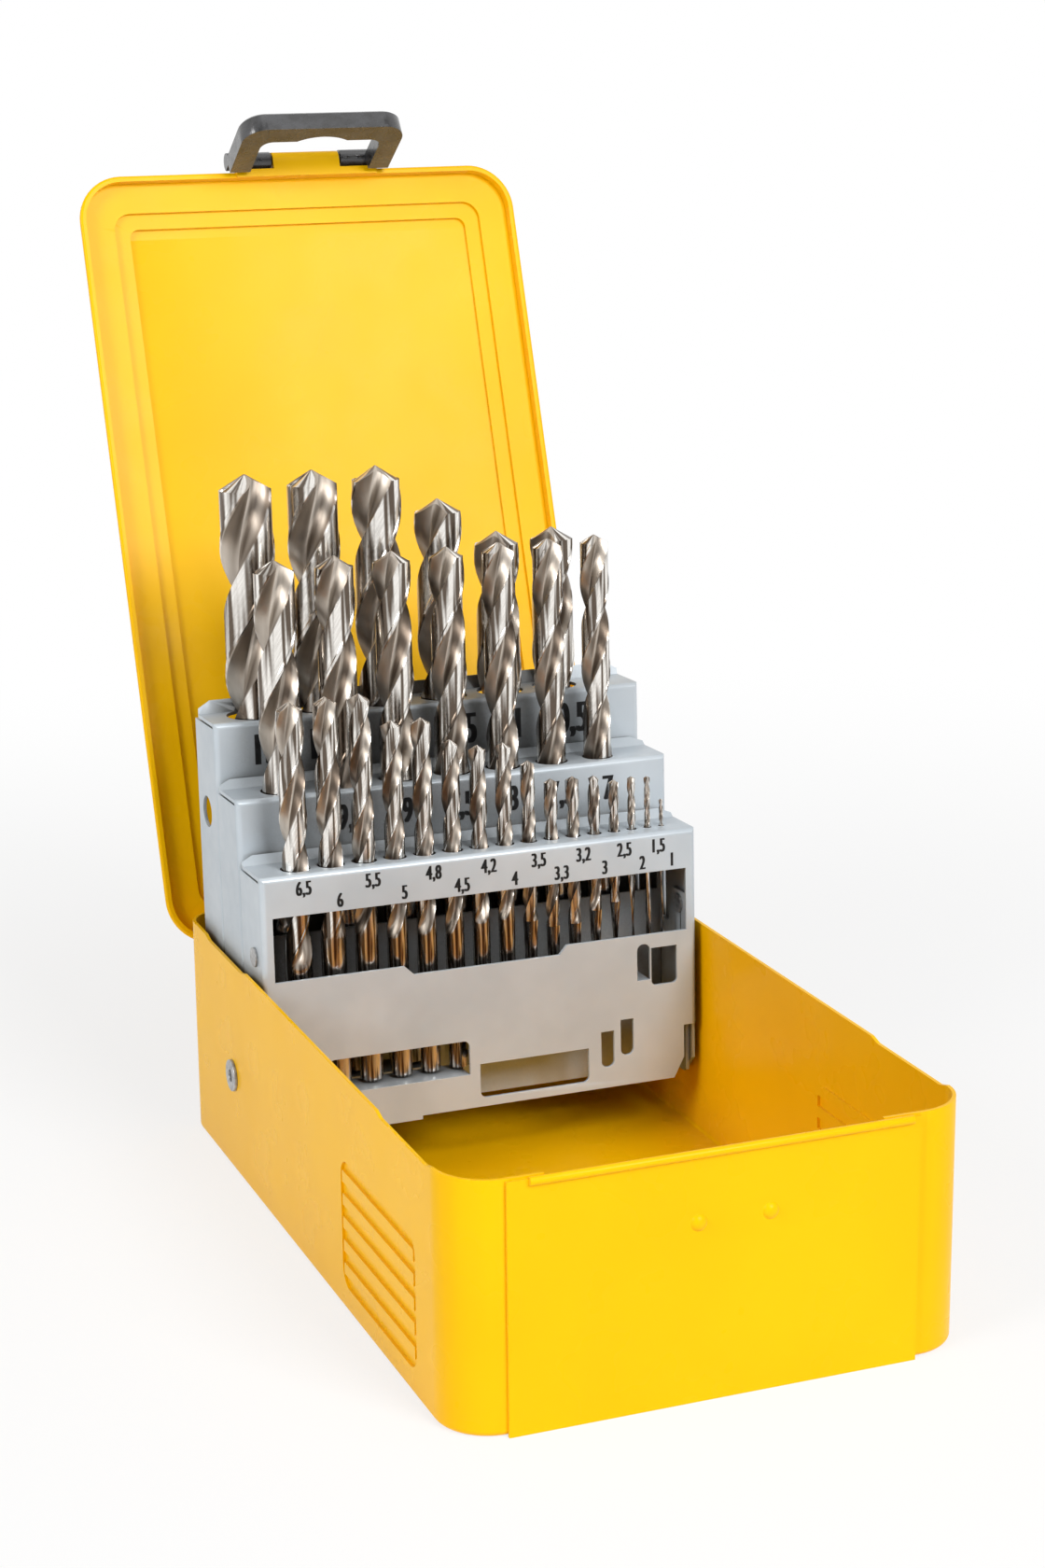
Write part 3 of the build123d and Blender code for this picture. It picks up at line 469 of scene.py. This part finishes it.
# Painted reflection: the lands' colour swings in upright bands from dark to nearly white, and the flutes' colour
# carries a painted sheen.
painted_land_reflection = spread(tree, streaks(tree, up_the_land, scale=3.0, detail=1.0), 0.0, 1.0, 0.43, 0.57)
painted_flute_sheen = spread(tree, streaks(tree, along_the_flute, scale=1.7, detail=1.5), 0.0, 1.0, 0.36, 0.64)
fine_lines = streaks(tree, along_the_flute, scale=9.0, detail=4.0)
land_painted_reflection_colour = colour_mix(tree, painted_land_reflection, (0.12, 0.092, 0.07), (0.97, 0.94, 0.89))
flute_painted_sheen_colour = colour_mix(tree, painted_flute_sheen, (0.13, 0.10, 0.077), (0.62, 0.555, 0.48))
steel = colour_mix(tree, inside, land_painted_reflection_colour, flute_painted_sheen_colour)
line_tone = spread(tree, fine_lines, low=0.0, high=0.22)
tree.links.new(colour_mix(tree, line_tone, steel, (0.26, 0.21, 0.165)), shader.inputs["Base Color"])
satin = tree.nodes.new("ShaderNodeMath")
satin.operation = "MULTIPLY_ADD"
satin.inputs[1].default_value = flute_satin
tree.links.new(inside, satin.inputs[0])
tree.links.new(spread(tree, fine_lines, low=0.14, high=0.28), satin.inputs[2])
tree.links.new(satin.outputs["Value"], shader.inputs["Roughness"])
add_bump(tree, shader, fine_lines, depth_mm=0.012, strength=0.3)
print("finish:", ground_steel.name)

# %% [markdown]
# ## Dress the sheet-metal pieces
# Folded and punched sheet has small soft edges, where the paint rounds them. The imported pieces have
# true edges, so a Weld joins the corners that the file format splits, and a Bevel rounds every edge
# sharper than a fold. Rebuilding each sheet by hand would give the same look for far more work.

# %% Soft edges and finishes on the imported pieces
weld_reach = 1e-5                       # metres
bevel_steps = 3
sharpest_fold = math.radians(35)
finish_of = {"case_yellow": yellow_coat, "rack_grey": grey_lacquer, "latch_black": black_plastic,
             "rivet_zinc": zinc_plate}
edge_mm = {"case_yellow": 0.34, "rack_grey": 0.2, "latch_black": 0.5, "rivet_zinc": 0.15}
slot_of = {row["node"]: row["material_slot"] for row in frame["record"]["subparts"]}


def soften(node, width_mm, finish):
    """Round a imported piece's sharp edges a little and give it its finish."""
    piece = nodes[node]
    weld = piece.modifiers.new("weld", "WELD")
    weld.merge_threshold = weld_reach
    bevel = piece.modifiers.new("soft_edge", "BEVEL")
    bevel.width = width_mm * MM
    bevel.segments = bevel_steps
    bevel.limit_method = "ANGLE"
    bevel.angle_limit = sharpest_fold
    bevel.harden_normals = True
    piece.data.materials.clear()
    piece.data.materials.append(finish)


for node, slot in slot_of.items():
    if slot in finish_of:
        soften(node, edge_mm[slot], finish_of[slot])
print("dressed:", sum(slot in finish_of for slot in slot_of.values()), "pieces")

# %% [markdown]
# ## The twist drills
# A twist drill is a rod with two ground flutes that wind round it to the right. Seen in section it has
# two lands with a narrow raised margin, two deep flutes and a core between them. The flutes run out
# into the plain shank, and the point is a flat cone of 118 degrees, backed off behind its two lips.
# It could be cut with Booleans, or screwed up with a Screw modifier. Here each section is one ring of
# points, turned a little further than the ring below, because then the run-out and the point can
# share the same rings and stay one clean skin. The section comes first: how far each point of a ring
# is from the middle.

# %% Section of a drill
ring_points = 96
margin_share = 0.07          # of half a turn, the raised margin at the land's cutting edge
land_share = 0.50            # of half a turn, the whole land with its margin
flute_floor = 0.32           # where a flute is deepest, on the way from the cutting edge to the heel
body_clearance = 0.955       # land behind the margin, as a share of the radius
core_share = 0.34            # half the web, as a share of the radius
cutting_curve = 2.0          # how a flute falls away from the cutting edge
heel_curve = 2.7             # how it climbs to the heel

half_turns = (np.arange(ring_points) / ring_points * 2.0) % 1.0
angles = np.arange(ring_points) / ring_points * 2.0 * math.pi
in_flute = (half_turns >= land_share).astype(float)
on_margin = (half_turns > land_share - margin_share) & (half_turns < land_share)
across_flute = np.clip((half_turns - land_share) / (1.0 - land_share), 0.0, 1.0)
cutting_side = (1.0 - np.minimum(across_flute / flute_floor, 1.0)) ** cutting_curve
heel_side = np.clip((across_flute - flute_floor) / (1.0 - flute_floor), 0.0, 1.0) ** heel_curve
flute_curve = np.maximum(cutting_side, heel_side)
section = np.where(on_margin, 1.0, body_clearance)
section = np.where(in_flute > 0.5, core_share + (body_clearance - core_share) * flute_curve, section)
print("section points:", ring_points, "web share:", core_share)

# %% [markdown]
# From the foot up, a drill is a plain shank with a small chamfer, then the flutes, which deepen out of
# the shank where the grinding wheel came in, and then the point. A flute swept along a curve would
# need a second shape where it runs out. Here each ring only says how deep its flutes are and how high
# each of its points stands, and the point's rings fall away behind the lips.

# %% Rings from foot to point
half_point = math.radians(59.0)
backing_off = 0.07           # of the diameter, fall of the point behind each lip
point_shares = (0.97, 0.75, 0.5, 0.25, 0.08)
rings_per_turn = 44
fewest_rings = 30
foot_middle = 0.02           # of the radius, the small ring that closes the foot
foot_chamfer = 0.12          # of the diameter
widest_chamfer = 0.6         # mm
run_out_share = 1.2          # of the diameter, height in which the flutes reach their depth
longest_run_out = 0.3        # of the flutes' length
helix_at_4_mm = 24.0         # degrees
helix_per_mm = 1.1


def helix_lead(diameter):
    """Height of one turn. The flutes of large drills wind a little more tightly."""
    helix_angle = math.radians(helix_at_4_mm + helix_per_mm * (diameter - 4.0))
    return math.pi * diameter / math.tan(helix_angle)


def drill_outline(diameter, length, flute):
    """For each ring, its points' distances from the middle as shares of the radius, and their heights."""
    radius = diameter / 2.0
    tip = radius / math.tan(half_point)
    start = length - flute
    chamfer = min(widest_chamfer, foot_chamfer * diameter)
    flat = np.ones(ring_points)
    outline = [(flat * foot_middle, flat * 0.0), (flat * (1.0 - chamfer / radius), flat * 0.0),
               (flat, flat * chamfer), (flat, flat * start)]
    top = length - section * tip
    run_out = min(longest_run_out, run_out_share * diameter / flute)
    steps = max(fewest_rings, int(flute / helix_lead(diameter) * rings_per_turn))
    for k in range(1, steps + 1):
        along = k / steps
        depth = min(1.0, along / run_out)
        depth = depth * depth * (3.0 - 2.0 * depth)
        outline.append((1.0 - (1.0 - section) * depth, start + (top - start) * along))
    behind = np.where(half_turns < land_share, 1.0 - half_turns / land_share, 0.0)
    for share in point_shares:
        fall = backing_off * diameter * behind * share
        outline.append((section * share, length - section * share * tip - fall))
    return outline


print("13 mm drill:", len(drill_outline(13.0, 151.0, 101.0)), "rings")

# %% [markdown]
# Now the rings are turned along the twist and joined. With its points, each ring gives the steel its
# two sets of coordinates: those of the land count straight round the rod, so that its bands stand
# upright, and those of the flute go along with the groove. The shader could work them out, but it
# would need to be told each drill's own axis.

# %% Twisted skin
land_climb = 0.12            # how fast the land's coordinates climb, for each diameter of height
flute_climb = 0.25           # and the flute's
flute_blend = 0.05           # of the radius, depth at which the steel is all flute


def drill_rings(diameter, length, flute, phase):
    """Points of every ring, and for each point what the steel needs to know."""
    radius = diameter / 2.0
    lead = helix_lead(diameter)
    points, lands, flutes, hollow = [], [], [], []
    for shares, heights in drill_outline(diameter, length, flute):
        turn = angles + phase + 2.0 * math.pi * (heights - length) / lead
        reach = radius * shares
        points.append(np.stack([reach * np.cos(turn), reach * np.sin(turn), heights], axis=1))
        up_land = heights / diameter * land_climb
        lands.append(np.stack([np.cos(turn), np.sin(turn), up_land], axis=1))
        up_flute = heights / diameter * flute_climb
        flutes.append(np.stack([np.cos(angles), np.sin(angles), up_flute], axis=1))
        sunk = np.clip((1.0 - shares) / flute_blend, 0.0, 1.0)
        hollow.append(in_flute * sunk * (heights > length - flute))
    return points, lands, flutes, hollow


def skin(rings):
    """Points and faces that join each ring to the next and close both ends."""
    n = ring_points
    faces = []
    for k in range(len(rings) - 1):
        for i in range(n):
            j = (i + 1) % n
            faces.append((k * n + i, k * n + j, (k + 1) * n + j, (k + 1) * n + i))
    faces.append(tuple(reversed(range(n))))
    faces.append(tuple(range((len(rings) - 1) * n, len(rings) * n)))
    return np.concatenate(rings), faces


def carry(mesh, name, values, kind):
    """Store one value for each point of a mesh."""
    layer = mesh.attributes.new(name, kind, "POINT")
    field = "vector" if kind == "FLOAT_VECTOR" else "value"
    layer.data.foreach_set(field, np.concatenate(values).ravel())


trial_points, trial_faces = skin(drill_rings(13.0, 151.0, 101.0, 0.0)[0])
print("13 mm drill:", len(trial_points), "points", len(trial_faces), "faces")

# %% [markdown]
# Where each drill stands is read from the model, so that no place is typed twice: the slide that lifts
# it gives its axis, the lowest points along that axis give its foot, and the next step up along it is
# where the flutes begin.

# %% Measure a packed drill
same_level = 2e-6            # metres, points this near the lowest one belong to the foot
above_foot = 1e-4            # metres, the next level is looked for from here on


def measured_drill(node, axis):
    """Foot, diameter, length and flute length of a packed drill, in metres, along its own axis."""
    points = np.array([v.co for v in nodes[node].data.vertices])
    along = points @ np.array(axis)
    low, high = along.min(), along.max()
    foot_ring = points[along < low + same_level]
    foot = (foot_ring.min(0) + foot_ring.max(0)) / 2.0
    levels = np.unique(np.round(along - low, 6))
    shank_top = levels[levels > above_foot][0]
    diameter = foot_ring[:, 0].max() - foot_ring[:, 0].min()
    return Vector(foot), diameter, high - low, (high - low) - shank_top


lean_axis = Vector(joints["lift_13_0"]["axis"]).normalized()
print("13 mm drill, mm:", [round(v / MM, 2) for v in measured_drill("bit_13_0", lean_axis)[1:]])

# %% [markdown]
# A drill can turn freely in its hole. Seen from the front it looks slim, like a waist, wherever a land
# faces the viewer and both flutes lie at the sides. How far the first waist is below the point, in
# diameters, was read off the picture, and it says how each drill is turned. Drills that all faced the
# same way would look stamped out of one mould.

# %% How each drill is turned
front_side = math.radians(248.5)        # the way from the case to the camera, seen from above
usual_waist = 1.5                       # for the smallest drills, whose waist can't be read
waist_below = {"13_0": 2.11, "12_5": 2.22, "12_0": 1.53, "11_5": 1.30, "11_0": 1.33, "10_5": 1.12,
               "10_0": 2.22, "9_5": 1.94, "9_0": 1.43, "8_5": 1.62, "8_0": 2.33, "7_5": 2.57,
               "7_0": 2.52, "6_5": 2.05, "6_0": 2.39, "5_5": 0.98, "5_0": 1.10, "4_8": 1.77,
               "4_5": 0.60, "4_2": 1.32, "4_0": 0.99, "3_5": 3.17, "3_3": 3.20, "3_2": 2.53,
               "3_0": 0.60, "2_5": 3.10, "2_0": 2.30}


def turned(size, diameter):
    """How far a drill is turned, so that its first waist shows where it does in the picture."""
    below = waist_below.get(size, usual_waist)
    land_middle = land_share * math.pi / 2.0
    return front_side - land_middle + 2.0 * math.pi * below * diameter / helix_lead(diameter)


print("waists read:", len(waist_below))

# %% [markdown]
# Each new drill takes the place of its packed one: it stands in the same hole, has the same size, and
# moves with the same slide. Twenty-nine copies of one scaled drill would be quicker, but their flutes
# and points would be wrong, because standard drills don't grow in proportion.

# %% Stand every drill in its hole
sharp_angle = math.radians(32)
drill_nodes = [node for node, slot in slot_of.items() if slot == "bit_steel"]
drill_sizes = {}
for node in drill_nodes:
    size = node.replace("bit_", "")
    axis = Vector(joints["lift_" + size]["axis"]).normalized()
    foot, diameter, length, flute = measured_drill(node, axis)
    phase = turned(size, diameter / MM)
    rings, lands, flutes, hollow = drill_rings(diameter / MM, length / MM, flute / MM, phase)
    points, faces = skin(rings)
    drill = mesh_object("drill_" + size, points * MM, faces)
    carry(drill.data, "land_place", lands, "FLOAT_VECTOR")
    carry(drill.data, "flute_place", flutes, "FLOAT_VECTOR")
    carry(drill.data, "in_flute", hollow, "FLOAT")
    side = Vector((1.0, 0.0, 0.0))
    turn = Matrix((side, axis.cross(side), axis)).transposed().to_4x4()
    drill.data.transform(Matrix.Translation(foot) @ turn)
    drill.data.materials.append(ground_steel)
    drill.data.set_sharp_from_angle(angle=sharp_angle)
    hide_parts(node)
    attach(drill, "drill_" + size)
    drill_sizes[size] = (foot, diameter, length, flute)
print("drills:", len(drill_sizes), "13 mm flute, mm:", round(drill_sizes["13_0"][3] / MM, 1))

# %% [markdown]
# ## Printed sizes
# Each hole has its size printed below it. The ink is almost black, a little uneven where it was laid
# on thinly, and less shiny than the lacquer. One flat black would look like a hole in the panel, so
# it gets the same drift as the other finishes, only weaker.

# %% Printing ink
print_ink, tree, shader = new_finish("printing_ink", roughness=0.5)
ink = drifting_colour(tree, (0.010, 0.010, 0.011), (0.03, 0.03, 0.032), per_mm=0.5, detail=3.0)
tree.links.new(ink, shader.inputs["Base Color"])
drifting_roughness(tree, shader, 0.4, 0.6, per_mm=2.0, detail=3.0)
print("finish:", print_ink.name)

# %% [markdown]
# The figures are heavy and condensed, with a decimal comma. They could be painted with a texture, but
# that would blur close up. Text objects keep the edges sharp; each is squeezed, pulled wider and turned
# into a thin mesh that lies on the panel, because ink is flat and never shows a thickness.

# %% One printed size
panel_out = Vector((0.0, -lean_axis.z, lean_axis.y))
face_depth_mm = 2.0          # points this near the front belong to a step's front face
figure_squeeze = 0.6
figure_weight = 0.04         # how far upright strokes are thickened to each side, of the type size
figure_pulls = (-1.0, -0.5, 0.0, 0.5, 1.0)
figure_spacing = 1.08
cap_share = 0.73             # height of a figure, as a share of the type size
ink_lift = 0.03 * MM


def step_face(step):
    """Where a step's front face stands along its own direction, and how high its top fold is."""
    points = np.array([v.co for v in nodes[step].data.vertices])
    out = points @ np.array(panel_out)
    near = points[out > out.max() - face_depth_mm * MM]
    return out.max(), float((near @ np.array(lean_axis)).max())


def print_size(text, x, drop, face, height):
    """Print one size, centred at x and so far below the step's top fold."""
    front, top = face
    curve = bpy.data.curves.new("size_" + text, "FONT")
    curve.body = text
    curve.size = height / cap_share
    curve.align_x = "CENTER"
    curve.align_y = "CENTER"
    curve.space_character = figure_spacing
    holder = bpy.data.objects.new("size_text", curve)
    bpy.context.scene.collection.objects.link(holder)
    bpy.context.view_layer.update()
    outline = bpy.data.meshes.new_from_object(holder)
    bpy.data.objects.remove(holder)
    flat = np.array([v.co for v in outline.vertices]) * (figure_squeeze, 1.0, 1.0)
    shapes = [tuple(polygon.vertices) for polygon in outline.polygons]
    points, faces = [], []
    for pull in figure_pulls:
        faces += [tuple(i + len(points) * len(flat) for i in shape) for shape in shapes]
        points.append(flat + (pull * figure_weight * curve.size, 0.0, 0.0))
    printed = mesh_object("print_" + text.replace(",", "_"), np.concatenate(points), faces, smooth=False)
    lie = Matrix((Vector((1.0, 0.0, 0.0)), lean_axis, panel_out)).transposed().to_4x4()
    place = Vector((x, 0.0, 0.0)) + panel_out * (front + ink_lift) + lean_axis * (top - drop)
    printed.data.transform(Matrix.Translation(place) @ lie)
    printed.data.materials.append(print_ink)
    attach(printed, "rack")


print("the front step's fold stands at, mm:", round(step_face("rack_front_tier")[1] / MM, 1))

# %% [markdown]
# Each step is printed below its own holes. The front step has sixteen, so its sizes stand in two
# staggered rows, and the figures grow from step to step. Each size takes its place across the panel
# from its drill, so that figure and hole can't drift apart.

# %% Print the figures on the steps
front_sizes = ["6_5", "6_0", "5_5", "5_0", "4_8", "4_5", "4_2", "4_0",
               "3_5", "3_3", "3_2", "3_0", "2_5", "2_0", "1_5", "1_0"]
middle_sizes = ["10_0", "9_5", "9_0", "8_5", "8_0", "7_5", "7_0"]
back_sizes = ["13_0", "12_5", "12_0", "11_5", "11_0", "10_5"]
label_rows = {                          # sizes, then drops below the fold and height in mm
    "rack_front_tier": (front_sizes, (3.4, 7.2), 3.5),
    "rack_middle_tier": (middle_sizes, (6.9,), 6.3),
    "rack_back_tier": (back_sizes, (7.4,), 7.8),
}
for step, (sizes, drops, height) in label_rows.items():
    face = step_face(step)
    for number, size in enumerate(sizes):
        label = size.replace("_0", "").replace("_", ",")
        x = drill_sizes[size][0].x
        print_size(label, x, drops[number % len(drops)] * MM, face, height * MM)
print("sizes printed:", sum(len(row[0]) for row in label_rows.values()))
